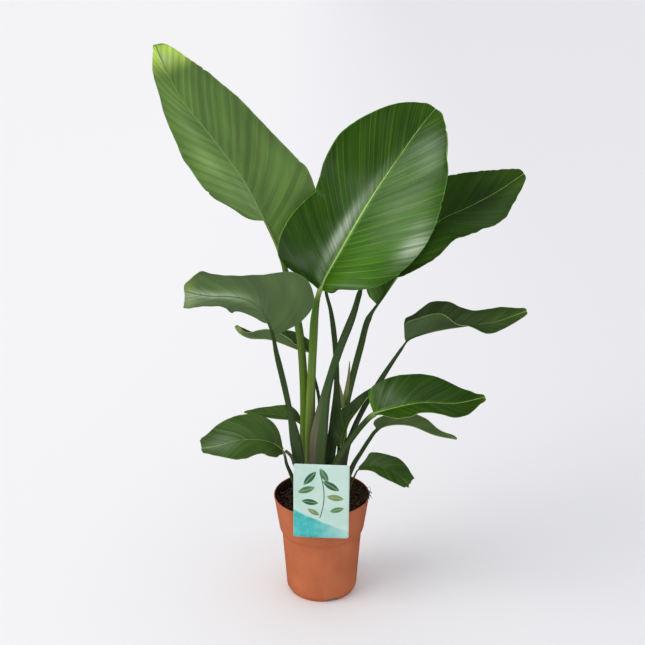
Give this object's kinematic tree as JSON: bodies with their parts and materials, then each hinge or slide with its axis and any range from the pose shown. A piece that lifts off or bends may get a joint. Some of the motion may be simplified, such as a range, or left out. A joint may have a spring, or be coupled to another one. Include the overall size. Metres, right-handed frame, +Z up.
{
  "type": "potted bird of paradise",
  "caption": "Potted bird of paradise: broad upright and arching leaves on long stalks, standing in soil in a tapered collared nursery pot with a folded picture label hooked over the rim.",
  "frame": {"origin": "middle of the pot's underside, on the surface the pot stands on", "axes": "+Z up through the plant, -Y towards the front, where the label hooks over the rim, +X to the right seen from the front"},
  "size_m": [0.6116, 0.3463, 0.9768],
  "materials": {
    "pot": "matt terracotta-coloured plastic",
    "soil": "loose dark peat and coir",
    "label": "printed coated card",
    "leaf": "glossy leaf",
    "stalk": "satin leaf stalk"
  },
  "bodies": {
    "root": {"pot": "pot", "soil": "soil", "plant_label": "label", "leaf_tall_left": "leaf", "leaf_front_large": "leaf", "leaf_upper_right": "leaf", "leaf_left_arching": "leaf", "leaf_back_left": "leaf", "leaf_right_arching": "leaf", "leaf_right_middle": "leaf", "leaf_right_under": "leaf", "leaf_low_right": "leaf", "leaf_low_left": "leaf", "leaf_low_left_rear": "leaf", "leaf_inner_right": "leaf", "leaf_rear_left": "leaf", "leaf_rear_centre": "leaf", "old_stalk": "stalk"}
  },
  "joints": []
}
